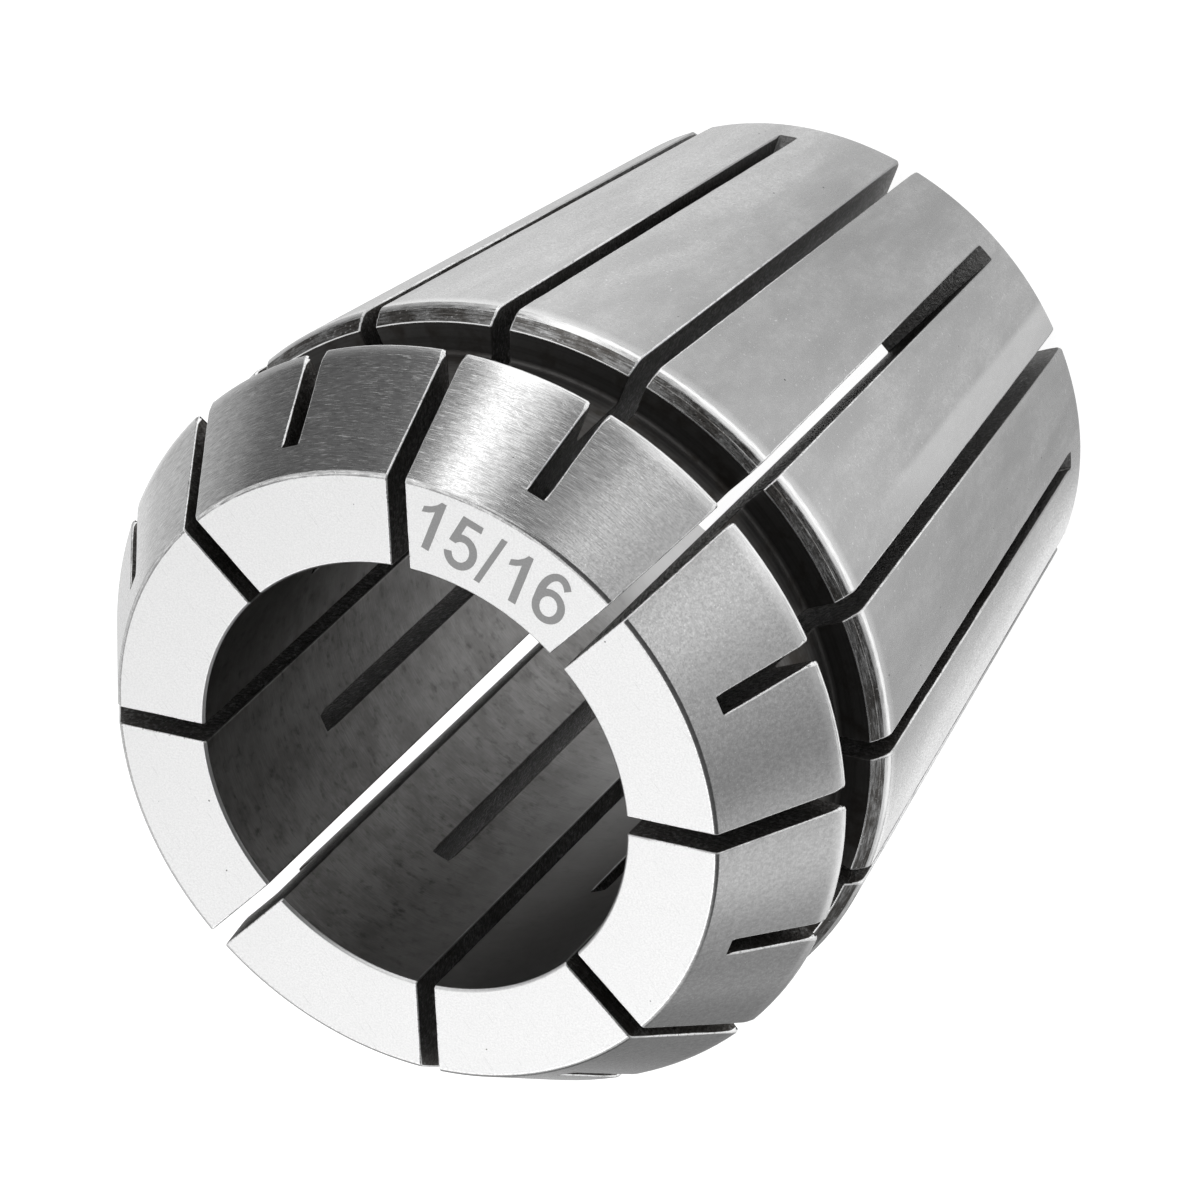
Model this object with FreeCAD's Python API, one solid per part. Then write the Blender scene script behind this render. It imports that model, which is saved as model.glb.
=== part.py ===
"""Spring collet with two tapers: one steel sleeve, slit from both ends so that it closes on a shank.

Millimetres. The collet stands on its rear end. Z is its axis, with z = 0 on the rear face and the
nose at the top. Angles are in degrees, and a front slot lies on the X axis.
"""
import FreeCAD, Part
import math
import os

V = FreeCAD.Vector
AXIS = V(0, 0, 1)

# Sleeve
LENGTH = 46.0             # rear face to front face
BORE_DIA = 23.8125        # 15/16 inch, for the shank that is gripped
BORE_LEAD_FRONT = 0.12    # edge break at the mouth of the bore
BORE_LEAD_REAR = 0.3      # larger edge break at the back of the bore

# Long taper, which seats in the chuck
TAPER_DIA = 41.0          # its largest diameter, just behind the shoulder
TAPER_ANGLE = 8.0         # half angle
REAR_EDGE = 0.25          # edge break around the rear face

# Nose, which the clamping nut presses on
NOSE_WIDTH = 6.86         # front face to groove
NOSE_ANGLE = 30.0         # half angle of the nose taper
NOSE_OVERSIZE = 0.2       # the nose rim stands this much outside the largest part of the long taper
RIM_ROUND = 0.22          # rounded rim of the nose, from its taper into the wall of the groove

# Groove, which the nut's eccentric ring pulls on
GROOVE_WIDTH = 4.5
GROOVE_DEPTH = 2.4        # below the largest diameter of the long taper
GROOVE_CORNER = 0.2       # slanted corners at the floor of the groove

# Shoulder, the slanted ring between groove and long taper
SHOULDER_FALL = 0.65      # how much it narrows towards the groove
SHOULDER_WIDTH = 0.9      # along the axis
SHOULDER_ROUND = 0.45     # where it runs into the long taper

# Slots, sawn along the axis with a round blade, from both ends in turn
SLOTS_PER_END = 8
SLOT_WIDTH = 1.0
SAW_DIA = 63.0            # its rim gives each slot a curved closed end
SAW_OVERRUN = 2.9         # how far the blade reaches through the wall into the bore
FRONT_SLOT_WEB = 2.07     # metal left at the rear face, along the axis, on the outside
REAR_SLOT_WEB = 1.67      # metal left at the front face, along the axis, on the outside

bore_r = BORE_DIA / 2
taper_r = TAPER_DIA / 2
saw_r = SAW_DIA / 2


def fall(angle, run):
    """How much a cone of this half angle narrows over a run along the axis."""
    return math.tan(math.radians(angle)) * run


# Heights and radii that follow from the sizes above
nose_back_z = LENGTH - NOSE_WIDTH
groove_back_z = nose_back_z - GROOVE_WIDTH
taper_top_z = groove_back_z - SHOULDER_WIDTH
rear_r = taper_r - fall(TAPER_ANGLE, taper_top_z)
groove_r = taper_r - GROOVE_DEPTH
shoulder_r = taper_r - SHOULDER_FALL
rim_r = taper_r + NOSE_OVERSIZE
rim_half_angle = (90 - NOSE_ANGLE) / 2
sharp_rim_r = rim_r + RIM_ROUND * (1 / math.tan(math.radians(rim_half_angle)) - 1)
face_r = sharp_rim_r - fall(NOSE_ANGLE, NOSE_WIDTH)


def rounded_outline(corners):
    """Closed wire in the XZ plane through (radius, z, rounding) corners, with arcs at the rounded ones."""
    count = len(corners)
    points = [V(radius, 0, z) for radius, z, rounding in corners]
    edges = []
    start = None
    for i in range(count):
        corner = points[i]
        back = (points[i - 1] - corner).normalize()
        ahead = (points[(i + 1) % count] - corner).normalize()
        rounding = corners[i][2]
        arrive, leave, arc = corner, corner, None
        if rounding > 0:
            half = back.getAngle(ahead) / 2
            reach = rounding / math.tan(half)
            arrive = corner + back * reach
            leave = corner + ahead * reach
            bisector = (back + ahead).normalize()
            middle = corner + bisector * (rounding / math.sin(half) - rounding)
            arc = Part.Arc(arrive, middle, leave).toShape()
        if start is None:
            first = arrive
        else:
            edges.append(Part.makeLine(start, arrive))
        if arc:
            edges.append(arc)
        start = leave
    edges.append(Part.makeLine(start, first))
    return Part.Wire(edges)


def turned_sleeve():
    """The sleeve as it comes off the lathe, before it is slit."""
    outline = rounded_outline([
        (bore_r, BORE_LEAD_REAR, 0),
        (bore_r + BORE_LEAD_REAR, 0, 0),
        (rear_r - REAR_EDGE, 0, 0),
        (rear_r + fall(TAPER_ANGLE, REAR_EDGE), REAR_EDGE, 0),
        (taper_r, taper_top_z, SHOULDER_ROUND),
        (shoulder_r, groove_back_z, 0),
        (groove_r + GROOVE_CORNER, groove_back_z, 0),
        (groove_r, groove_back_z + GROOVE_CORNER, 0),
        (groove_r, nose_back_z - GROOVE_CORNER, 0),
        (groove_r + GROOVE_CORNER, nose_back_z, 0),
        (sharp_rim_r, nose_back_z, RIM_ROUND),
        (face_r, LENGTH, 0),
        (bore_r + BORE_LEAD_FRONT, LENGTH, 0),
        (bore_r, LENGTH - BORE_LEAD_FRONT, 0),
    ])
    return Part.Face(outline).revolve(V(0, 0, 0), AXIS, 360)


def saw_path(end_r, end_z, toward):
    """What one pass of the blade removes, lying in the XZ plane and SLOT_WIDTH thick.

    The pass ends on the outside of the sleeve at (end_r, end_z). It comes from the end of the
    sleeve that lies in the direction toward: +1 from the front, -1 from the rear.
    """
    inner_r = bore_r - SAW_OVERRUN
    centre_r = inner_r + saw_r
    centre_z = end_z + toward * math.sqrt(saw_r ** 2 - (centre_r - end_r) ** 2)
    open_z = LENGTH + 1 if toward > 0 else -1
    low_z = min(centre_z, open_z)
    straight = Part.makeBox(saw_r, SLOT_WIDTH, abs(open_z - centre_z), V(inner_r, -SLOT_WIDTH / 2, low_z))
    blade = Part.makeCylinder(saw_r, SLOT_WIDTH, V(centre_r, -SLOT_WIDTH / 2, centre_z), V(0, 1, 0))
    return straight.fuse(blade)


def turned(shape, angle):
    """A copy of the shape, turned about the axis of the sleeve."""
    copy = shape.copy()
    copy.rotate(V(0, 0, 0), AXIS, angle)
    return copy


def slit(sleeve):
    """The sleeve with its two sets of slots, the rear ones midway between the front ones."""
    pitch = 360 / SLOTS_PER_END
    front_end_r = rear_r + fall(TAPER_ANGLE, FRONT_SLOT_WEB)
    rear_end_r = face_r + fall(NOSE_ANGLE, REAR_SLOT_WEB)
    front_pass = saw_path(front_end_r, FRONT_SLOT_WEB, +1)
    rear_pass = saw_path(rear_end_r, LENGTH - REAR_SLOT_WEB, -1)
    cuts = []
    for i in range(SLOTS_PER_END):
        cuts.append(turned(front_pass, i * pitch))
        cuts.append(turned(rear_pass, (i + 0.5) * pitch))
    return sleeve.cut(cuts)


collet = slit(turned_sleeve())
if collet.ShapeType == "Compound" and len(collet.Solids) == 1:
    collet = collet.Solids[0]

os.makedirs("parts", exist_ok=True)
collet.exportStep("parts/collet.step")
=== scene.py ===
# %% [markdown]
# A spring collet is a steel sleeve that closes on a tool shank. It is turned, slit from both ends
# and ground, so it is one piece of metal with no joints. This lesson dresses the CAD solid for a
# studio photograph: fine edges, a finish for each surface, a soft white set and the camera.
# The CAD model is loaded first. Everything that follows is placed against it, in metres.

# %% Load the CAD model
import math

import bmesh
import bpy
import numpy as np
from mathutils import Matrix, Vector


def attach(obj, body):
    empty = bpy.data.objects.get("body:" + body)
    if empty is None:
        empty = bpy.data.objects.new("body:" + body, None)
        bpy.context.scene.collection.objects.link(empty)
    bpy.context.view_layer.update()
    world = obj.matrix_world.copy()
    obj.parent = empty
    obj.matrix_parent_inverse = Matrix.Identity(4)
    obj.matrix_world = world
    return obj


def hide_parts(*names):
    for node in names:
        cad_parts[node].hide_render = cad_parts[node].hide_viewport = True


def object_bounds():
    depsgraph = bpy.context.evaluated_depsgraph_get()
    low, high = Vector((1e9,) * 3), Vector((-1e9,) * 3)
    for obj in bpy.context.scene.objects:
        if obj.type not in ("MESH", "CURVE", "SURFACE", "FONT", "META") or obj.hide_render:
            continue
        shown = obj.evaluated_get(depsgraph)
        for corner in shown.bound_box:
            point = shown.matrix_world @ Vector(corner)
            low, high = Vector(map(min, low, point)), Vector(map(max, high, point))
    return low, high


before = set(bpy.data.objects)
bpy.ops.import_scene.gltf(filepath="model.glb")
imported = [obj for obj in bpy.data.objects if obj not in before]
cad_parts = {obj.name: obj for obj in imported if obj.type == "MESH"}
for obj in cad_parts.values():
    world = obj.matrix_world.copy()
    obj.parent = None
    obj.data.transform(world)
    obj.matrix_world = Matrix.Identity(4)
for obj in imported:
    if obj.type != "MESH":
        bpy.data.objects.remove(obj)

bpy.context.view_layer.update()
cad_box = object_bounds()
print("CAD box in metres:", [[round(c, 5) for c in corner] for corner in cad_box])

# %% [markdown]
# The visible sleeve is a mesh of its own, because the CAD facets have no deburred slot edges.
# The length comes from the CAD box, and the others are the named sizes of the collet, in
# millimetres. MM turns them into metres at the very end.

# %% Sizes of the sleeve
MM = 0.001
LENGTH = (cad_box[1].z - cad_box[0].z) / MM
BORE_R = 23.8125 / 2
BORE_LEAD_FRONT = 0.12
BORE_LEAD_REAR = 0.3
TAPER_R = 41.0 / 2
TAPER_ANGLE = 8.0
REAR_EDGE = 0.25
NOSE_WIDTH = 6.86
NOSE_ANGLE = 30.0
NOSE_OVERSIZE = 0.2
RIM_ROUND = 0.22
GROOVE_WIDTH = 4.5
GROOVE_DEPTH = 2.4
SHOULDER_FALL = 0.65
SHOULDER_WIDTH = 0.9
MARK_LIFT = 0.008  # the marked size stands this much above the front face


def fall(angle, run):
    """How much a cone of this half angle narrows over a run along the axis."""
    return math.tan(math.radians(angle)) * run


face_z = LENGTH - MARK_LIFT
nose_back_z = LENGTH - NOSE_WIDTH
groove_back_z = nose_back_z - GROOVE_WIDTH
taper_top_z = groove_back_z - SHOULDER_WIDTH
rear_r = TAPER_R - fall(TAPER_ANGLE, taper_top_z)
groove_r = TAPER_R - GROOVE_DEPTH
shoulder_r = TAPER_R - SHOULDER_FALL
rim_r = TAPER_R + NOSE_OVERSIZE
rim_cot = 1 / math.tan(math.radians((90 - NOSE_ANGLE) / 2))
sharp_rim_r = rim_r + RIM_ROUND * (rim_cot - 1)
face_r = sharp_rim_r - fall(NOSE_ANGLE, face_z - nose_back_z)
print(f"length {LENGTH:.3f} mm, face radius {face_r:.3f} mm, rear radius {rear_r:.3f} mm")

# %% [markdown]
# A lathe cuts an outline round the axis. The outline goes once round the section of the wall:
# along the rear face, up the outside, over the nose and the front face, and back down the bore.
# Every corner is rounded, because a real edge is never quite sharp and the thin line of light
# along it is what makes metal look like metal.

# %% Outline of the wall
EDGE = 0.1  # radius of an ordinary turned edge
REAR_ROUND = 0.2  # radius at the outer edge of the rear end
FOOT_ROUND = 0.25  # radius where the taper begins
CONE_EDGE = 0.34  # radius where the nose cone meets the front face
GROOVE_FILLET = 0.25  # radius at the bottom of the groove
RIM_BREAK = 0.1  # how far the rim of the nose is broken on its back
RIM_BACK_ROUND = 0.05
RIM_SPARE = 0.02  # the rounding of the rim takes this much off again
RIM_FRONT_ROUND = 0.18
RIM_WEAR = 0.55  # how far the worn band reaches up the nose
RIM_BLEND = 3.0  # radius that blends the worn band into the cone
SHOULDER_WEAR = 0.72  # the shoulder is rubbed rounder than it was turned
LAND_R = TAPER_R - 0.34  # the shoulder has a narrow upright land half way
LAND_WIDTH = 0.07
LAND_ROUND = 0.02
ROW_STEP = 0.55  # longest step along a straight stretch
ARC_STEPS = 3  # fewest steps in a rounded corner
ARC_TURN = 18  # most degrees that one of its steps turns

land_z = taper_top_z + (TAPER_R - LAND_R) * (groove_back_z - taper_top_z) / SHOULDER_FALL

# Each corner: radius, height, rounding, finish of the arc, finish of the stretch that follows.
corners = [
    (BORE_R, BORE_LEAD_REAR, EDGE, "rear", "rear"),
    (BORE_R + BORE_LEAD_REAR, 0, EDGE, "rear", "rear"),
    (rear_r - REAR_EDGE, 0, REAR_ROUND, "rear", "rear"),
    (rear_r + fall(TAPER_ANGLE, REAR_EDGE), REAR_EDGE, FOOT_ROUND, "taper", "taper"),
    (TAPER_R, taper_top_z, SHOULDER_WEAR, "worn", "shoulder"),
    (LAND_R, land_z - LAND_WIDTH / 2, LAND_ROUND, "shoulder", "shoulder"),
    (LAND_R, land_z + LAND_WIDTH / 2, LAND_ROUND, "shoulder", "shoulder"),
    (shoulder_r, groove_back_z, EDGE, "worn", "groove"),
    (groove_r, groove_back_z, GROOVE_FILLET, "groove", "groove"),
    (groove_r, nose_back_z, GROOVE_FILLET, "groove", "groove"),
    (rim_r - RIM_BREAK, nose_back_z, RIM_BACK_ROUND, "worn", "worn"),
    (rim_r + RIM_SPARE, nose_back_z + RIM_BREAK, RIM_FRONT_ROUND, "worn", "worn"),
    (sharp_rim_r - fall(NOSE_ANGLE, RIM_WEAR), nose_back_z + RIM_WEAR, RIM_BLEND, "nose", "nose"),
    (face_r, face_z, CONE_EDGE, "nose", "face"),
    (BORE_R + BORE_LEAD_FRONT, face_z, EDGE, "face", "face"),
    (BORE_R, face_z - BORE_LEAD_FRONT, EDGE, "face", "bore"),
]


def unit(step):
    """A step of length one in the same direction."""
    return step / np.linalg.norm(step)


def round_corner(before, corner, after, rounding):
    """Points of the arc that replaces a corner, each with its outward normal."""
    back, ahead = unit(before - corner), unit(after - corner)
    half = math.acos(np.dot(back, ahead)) / 2
    turn = math.pi - 2 * half
    spin = 1 if back[0] * ahead[1] < back[1] * ahead[0] else -1
    centre = corner + unit(back + ahead) * rounding / math.sin(half)
    first = corner + back * rounding / math.tan(half) - centre
    steps = max(ARC_STEPS, math.ceil(math.degrees(turn) / ARC_TURN))
    made = []
    for k in range(steps + 1):
        sine, cosine = math.sin(spin * turn * k / steps), math.cos(spin * turn * k / steps)
        arm = np.array([first[0] * cosine - first[1] * sine, first[0] * sine + first[1] * cosine])
        made.append((centre + arm, unit(arm) * spin))
    return made


def turned_outline():
    """The closed outline as rows: place, outward normal and the finish of the stretch after it."""
    count = len(corners)
    places = [np.array(corner[:2]) for corner in corners]
    arcs = [
        round_corner(places[i - 1], places[i], places[(i + 1) % count], corners[i][2])
        for i in range(count)
    ]
    made = []
    for i, arc in enumerate(arcs):
        for k, (place, normal) in enumerate(arc):
            made.append((place, normal, corners[i][3 if k < len(arc) - 1 else 4]))
        start, normal = arc[-1]
        end = arcs[(i + 1) % count][0][0]
        pieces = max(1, math.ceil(np.linalg.norm(end - start) / ROW_STEP))
        for k in range(1, pieces):
            made.append((start + (end - start) * k / pieces, normal, corners[i][4]))
    return made


outline = turned_outline()
print("rows round the outline:", len(outline))

# %% [markdown]
# Eight slots run in from the front and eight from the rear, in turn, one every 22.5 degrees. A
# slitting saw cut them, so each ends in an arc of the blade, and the worn corners of the blade
# leave small fillets at the bottom of the slot. Here the arc is found where it leaves the metal,
# on the outside and in the bore, so that the mesh can have rows exactly there.

# %% The slitting saw
SLOTS_PER_END = 8
SLOT_WIDTH = 1.0
SAW_R = 63.0 / 2
SAW_OVERRUN = 2.9
FRONT_SLOT_WEB = 2.07  # metal left between a front slot and the rear face, on the outside
REAR_SLOT_WEB = 1.67  # metal left between a rear slot and the front face, on the outside
SAW_CORNER = 0.07  # wear on the corners of the blade
HALVINGS = 50  # how often a stretch is halved to find where the blade leaves it

saw_x = BORE_R - SAW_OVERRUN + SAW_R


def saw_height(end_r, end_z, toward):
    """Height of the blade's centre for a cut that ends at this radius and height outside."""
    return end_z + toward * math.sqrt(SAW_R**2 - (saw_x - end_r) ** 2)


front_end_r = rear_r + fall(TAPER_ANGLE, FRONT_SLOT_WEB)
front_saw_z = saw_height(front_end_r, FRONT_SLOT_WEB, 1)
rear_end_z = LENGTH - REAR_SLOT_WEB
rear_end_r = face_r + fall(NOSE_ANGLE, face_z - rear_end_z)
rear_saw_z = saw_height(rear_end_r, rear_end_z, -1)
print(f"blade centres {front_saw_z:.3f} and {rear_saw_z:.3f} mm above the rear face")


def saw_gap(point, saw_z, blade_r):
    """Distance from a point of the wall section to the blade at the end of its travel."""
    return math.hypot(point[0] - saw_x, point[1] - saw_z) - blade_r


def crossing(a, b, saw_z, blade_r):
    """Point between a and b that lies exactly on the blade's rim."""
    low, high = 0.0, 1.0
    outside = saw_gap(a, saw_z, blade_r) > 0
    for _ in range(HALVINGS):
        middle = (low + high) / 2
        if (saw_gap(a + (b - a) * middle, saw_z, blade_r) > 0) == outside:
            low = middle
        else:
            high = middle
    return a + (b - a) * low


# %% [markdown]
# The outline now gets its rows at the slot ends. For each kind of slot a row is one of three
# things: kept, where the metal goes on across the slot, cut, where the saw has been, and end,
# exactly between them. Rows that would crowd an end row are left out.

# %% Rows at the ends of the slots
KEPT, END, CUT = "kept", "end", "cut"
ROOM_KEPT = 0.6  # room on the kept side, where the fillets of the slot end bulge
ROOM_CUT = 0.2  # room on the side where the saw has been
BLADES = {"front": (front_saw_z, 1), "rear": (rear_saw_z, -1)}


def is_cut(place, kind):
    """Whether the worn blade of this kind of slot has passed through a point of the section."""
    saw_z, toward = BLADES[kind]
    return toward * (place[1] - saw_z) > 0 or saw_gap(place, saw_z, SAW_R - SAW_CORNER) < 0


def with_slot_ends(plain):
    """The outline with an end row for each place where a blade leaves the skin."""
    full = []
    for i, row in enumerate(plain):
        full.append((*row, None))
        ahead = plain[(i + 1) % len(plain)]
        for kind, (saw_z, _) in BLADES.items():
            if is_cut(row[0], kind) != is_cut(ahead[0], kind):
                place = crossing(row[0], ahead[0], saw_z, SAW_R - SAW_CORNER)
                full.append((place, row[1], row[2], kind))
    ends = [row for row in full if row[3]]

    def crowded(row):
        """Whether an ordinary row stands too close to an end row."""
        gaps = [
            np.linalg.norm(row[0] - end[0]) - (ROOM_CUT if is_cut(row[0], end[3]) else ROOM_KEPT)
            for end in ends
        ]
        return not row[3] and min(gaps) < 0

    return [row for row in full if not crowded(row)]


rows = with_slot_ends(outline)
ROWS = len(rows)
state = {
    kind: [END if row[3] == kind else CUT if is_cut(row[0], kind) else KEPT for row in rows]
    for kind in BLADES
}
run = [0.0]
for i in range(ROWS):
    ahead = rows[(i + 1) % ROWS][0]
    run.append(run[-1] + np.linalg.norm(ahead - rows[i][0]))
ROUND = run.pop()
print(f"{ROWS} rows over {ROUND:.1f} mm, {sum(1 for row in rows if row[3])} of them slot ends")

# %% [markdown]
# Across the skin the mesh has columns. Beside a slot come the floor columns, which exist only
# where the metal goes on across the slot, and then the edge columns, which roll the skin over
# into the slot wall. A file breaks such an edge unevenly, so its radius wanders a little. Between
# one slot and the next the columns are spread evenly.

# %% Columns of one wedge
WEDGE = math.radians(180 / SLOTS_PER_END)
HALF_SLOT = SLOT_WIDTH / 2
SLOT_EDGE = 0.085  # radius of the broken edge along a slot
FADE = 0.5  # the broken edge runs out over this length at the end of the slot
SLOW_WANDER = 0.2  # share of its radius that the edge wanders over a millimetre or more
JUMPY_WANDER = 0.1  # share that it jumps from row to row
STEADY = 1.1  # an edge that has grown by this factor no longer wanders
MIDDLE_STEPS = 9
EDGE_TURNS = [math.radians(angle) for angle in (30, 60, 90)]
CORNER_TURNS = [math.radians(angle) for angle in (0, 30, 60, 90)]

# Each floor column: distance from the slot's middle, shortfall of the worn blade, turn of it.
floor_columns = [(0.0, 0.0, 0.0)] + [
    (HALF_SLOT - SAW_CORNER * (1 - math.sin(turn)), SAW_CORNER * (1 - math.cos(turn)), turn)
    for turn in CORNER_TURNS
]
LAST_FLOOR = len(floor_columns) - 1

# Where the slots cross the rim of the nose, the rear and the shoulder, the corners are rounder.
# Each mouth: radius, height, extra rounding, reach.
MOUTHS = [
    (rim_r, nose_back_z + 0.2, 2.0, 0.45),
    (rear_r - 0.05, 0.12, 1.3, 0.35),
    (TAPER_R - 0.1, taper_top_z, 0.7, 0.3),
]


def mouth_growth(place):
    """How many times larger the broken edge is near a mouth of the slots."""
    growth = 1.0
    for radius, height, extra, reach in MOUTHS:
        away = math.hypot(place[0] - radius, place[1] - height) / reach
        growth += extra * math.exp(-away * away)
    return growth


growths = np.array([mouth_growth(row[0]) for row in rows])


def edge_radii(seed):
    """A wandering edge radius for each row, slow over millimetres and jumpy from row to row."""
    chance = np.random.RandomState(seed)
    slow = chance.uniform(-1, 1, int(ROUND) + 2)
    jumpy = chance.uniform(-1, 1, ROWS)
    wander = SLOW_WANDER * np.interp(run, np.arange(len(slow)), slow) + JUMPY_WANDER * jumpy
    return SLOT_EDGE * growths * (1 + wander * (growths < STEADY))


def edge_share(i, kind):
    """How much of the broken edge is there: none at the slot's end, all of it further on."""
    if state[kind][i] != CUT:
        return 0.0
    gaps = [abs(run[i] - run[k]) for k in range(ROWS) if state[kind][k] == END]
    nearest = min(min(gap, ROUND - gap) for gap in gaps)
    part = min(1.0, nearest / FADE)
    return part * part * (3 - 2 * part)


shares = {kind: [edge_share(i, kind) for i in range(ROWS)] for kind in BLADES}
print(f"{LAST_FLOOR + 1} floor columns and {len(EDGE_TURNS)} edge columns beside each slot")

# %% [markdown]
# A point of the mesh is named by its row and by its distance from the middle of the slot beside
# it. The same two functions serve both sides of a wedge, because the side of the rear slot is the
# mirror image of the side of the front slot. A normal of its own for each corner of each face
# keeps the cones and the bore perfectly round, and the sawn walls perfectly flat.

# %% Points and normals beside a slot
turn_cos, turn_sin = math.cos(WEDGE), math.sin(WEDGE)
SIDES = {
    "front": np.eye(3),
    "rear": np.array([[turn_cos, turn_sin, 0], [turn_sin, -turn_cos, 0], [0, 0, 1]]),
}
INTO_SLOT = np.array([0.0, -1.0, 0.0])


def spot(place, normal, depth, aside):
    """A point this deep under the skin and this far aside from the middle of the slot."""
    radius, height = place[0] - normal[0] * depth, place[1] - normal[1] * depth
    return np.array([math.sqrt(radius**2 - aside**2), aside, height])


def skin_normal(point, normal):
    """The normal of the turned skin, at any point round the axis."""
    out = point * [1, 1, 0] / math.hypot(point[0], point[1])
    return out * normal[0] + np.array([0, 0, normal[1]])


def kept_beside(i, kind):
    """The place of the kept row next to an end row."""
    step = 1 if state[kind][(i + 1) % ROWS] == KEPT else -1
    return rows[(i + step) % ROWS][0]


def floor_spot(i, kind, column):
    """Point and normal of a floor column, or nothing where the saw has been."""
    place, normal, _, _ = rows[i]
    aside, short, _ = floor_columns[column]
    if state[kind][i] == CUT:
        return None
    if state[kind][i] == END:
        place = crossing(kept_beside(i, kind), place, BLADES[kind][0], SAW_R - short)
    point = spot(place, normal, 0, aside)
    return point, skin_normal(point, normal)


def edge_spot(i, kind, turn, radius):
    """Point and normal of an edge column, rolled over into the slot where the saw has been."""
    place, normal, _, _ = rows[i]
    share = shares[kind][i]
    aside = HALF_SLOT + radius * (1 - math.cos(turn))
    point = spot(place, normal, share * radius * (1 - math.sin(turn)), aside)
    plain = skin_normal(point, normal)
    rolled = INTO_SLOT * math.cos(turn) + plain * math.sin(turn)
    mixed = plain * (1 - share) + rolled * share
    return point, mixed / np.linalg.norm(mixed)


def side_spots(i, kind, radius):
    """The floor and edge columns of row i beside one slot, from its middle outward."""
    floor = [floor_spot(i, kind, column) for column in range(LAST_FLOOR)]
    edge = [edge_spot(i, kind, turn, radius) for turn in [0.0] + EDGE_TURNS]
    turned = SIDES[kind]
    return [found and (turned @ found[0], turned @ found[1]) for found in floor + edge]


def middle_spots(i, front_radius, rear_radius):
    """The evenly spread columns of row i."""
    place, normal, _, _ = rows[i]
    first = math.asin((HALF_SLOT + front_radius) / place[0])
    last = WEDGE - math.asin((HALF_SLOT + rear_radius) / place[0])
    made = []
    for k in range(1, MIDDLE_STEPS):
        angle = first + (last - first) * k / MIDDLE_STEPS
        point = np.array([place[0] * math.cos(angle), place[0] * math.sin(angle), place[1]])
        made.append((point, skin_normal(point, normal)))
    return made


COLUMNS = 2 * (LAST_FLOOR + 1 + len(EDGE_TURNS)) + MIDDLE_STEPS - 1
print(f"{COLUMNS} columns in a wedge of {math.degrees(WEDGE)} degrees")

# %% [markdown]
# One wedge reaches from the middle of a front slot to the middle of the next rear slot. It has
# three kinds of face: the skin between neighbouring rows and columns, the curved floor at the end
# of each slot, where the metal meets the rim of the blade, and one flat face for each sawn wall.

# %% Faces of one wedge
FINISHES = [
    "face", "nose", "worn", "groove", "shoulder", "taper", "rear", "bore", "slot", "edge"
]
ARC_STEP = 0.9  # longest step along the rim of the blade


def skin_faces(grid):
    """Faces between the rows and columns of the skin."""
    made = []
    beside = LAST_FLOOR + len(EDGE_TURNS)
    for i in range(ROWS):
        ahead = (i + 1) % ROWS
        for c in range(COLUMNS - 1):
            ring = [grid[i][c], grid[i][c + 1], grid[ahead][c + 1], grid[ahead][c]]
            if None in [corner and 1 for corner in ring]:
                continue
            kind, near = ("front", c) if c < beside else ("rear", COLUMNS - 2 - c)
            rolled = LAST_FLOOR <= near < beside and CUT in (state[kind][i], state[kind][ahead])
            filed = rolled and rows[i][2] not in ("groove", "bore")
            made.append((ring, "edge" if filed else rows[i][2]))
    return made


def slot_end_rows(kind):
    """The end rows after and before the kept rows, as the outline runs."""
    ends = [i for i in range(ROWS) if state[kind][i] == END]
    after = [i for i in ends if state[kind][i - 1] == KEPT][0]
    before = [i for i in ends if i != after][0]
    return after, before


def blade_rim(kind, column, after, before):
    """Points and normals along the rim of the blade, from one end row to the other."""
    aside, short, turn = floor_columns[column]
    saw_z, _ = BLADES[kind]
    blade_r = SAW_R - short
    angles = []
    for i in (after, before):
        place = rows[i][0]
        if column < LAST_FLOOR:
            place = crossing(kept_beside(i, kind), place, saw_z, blade_r)
        angles.append(math.atan2(place[1] - saw_z, place[0] - saw_x))
    count = math.ceil(abs(angles[1] - angles[0]) * SAW_R / ARC_STEP)
    count = 2 * math.ceil(count / 2)
    made = []
    for k in range(count + 1):
        angle = angles[0] + (angles[1] - angles[0]) * k / count
        inward = (-math.cos(angle), -math.sin(angle))
        place = (saw_x + blade_r * math.cos(angle), saw_z + blade_r * math.sin(angle))
        point = spot(place, (0, 0), 0, aside)
        normal = skin_normal(point, inward) * math.cos(turn) + INTO_SLOT * math.sin(turn)
        made.append((SIDES[kind] @ point, SIDES[kind] @ normal))
    return made


def slot_faces(grid, kind):
    """The curved floor at the end of a slot and the sawn wall, on one side of the slot."""
    after, before = slot_end_rows(kind)
    rims = [blade_rim(kind, column, after, before) for column in range(LAST_FLOOR + 1)]
    made = []
    for near, far in zip(rims, rims[1:]):
        for k in range(len(near) - 1):
            made.append(([near[k], far[k], far[k + 1], near[k + 1]], "slot"))
    wall_column = LAST_FLOOR if kind == "front" else COLUMNS - 1 - LAST_FLOOR
    last = before + 1 + ROWS * (before < after)
    ring = [grid[i % ROWS][wall_column][0] for i in range(after, last)]
    ring += [point for point, _ in rims[-1][-2:0:-1]]
    flat = SIDES[kind] @ INTO_SLOT
    made.append(([(point, flat) for point in ring], "slot"))
    if kind == "rear":
        made = [(corners_of[::-1], finish) for corners_of, finish in made]
    return made


def wedge_faces(front_radii, rear_radii):
    """All faces of one wedge."""
    grid = []
    for i in range(ROWS):
        front = side_spots(i, "front", front_radii[i])
        rear = side_spots(i, "rear", rear_radii[i])
        grid.append(front + middle_spots(i, front_radii[i], rear_radii[i]) + rear[::-1])
    return skin_faces(grid) + slot_faces(grid, "front") + slot_faces(grid, "rear")


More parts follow.
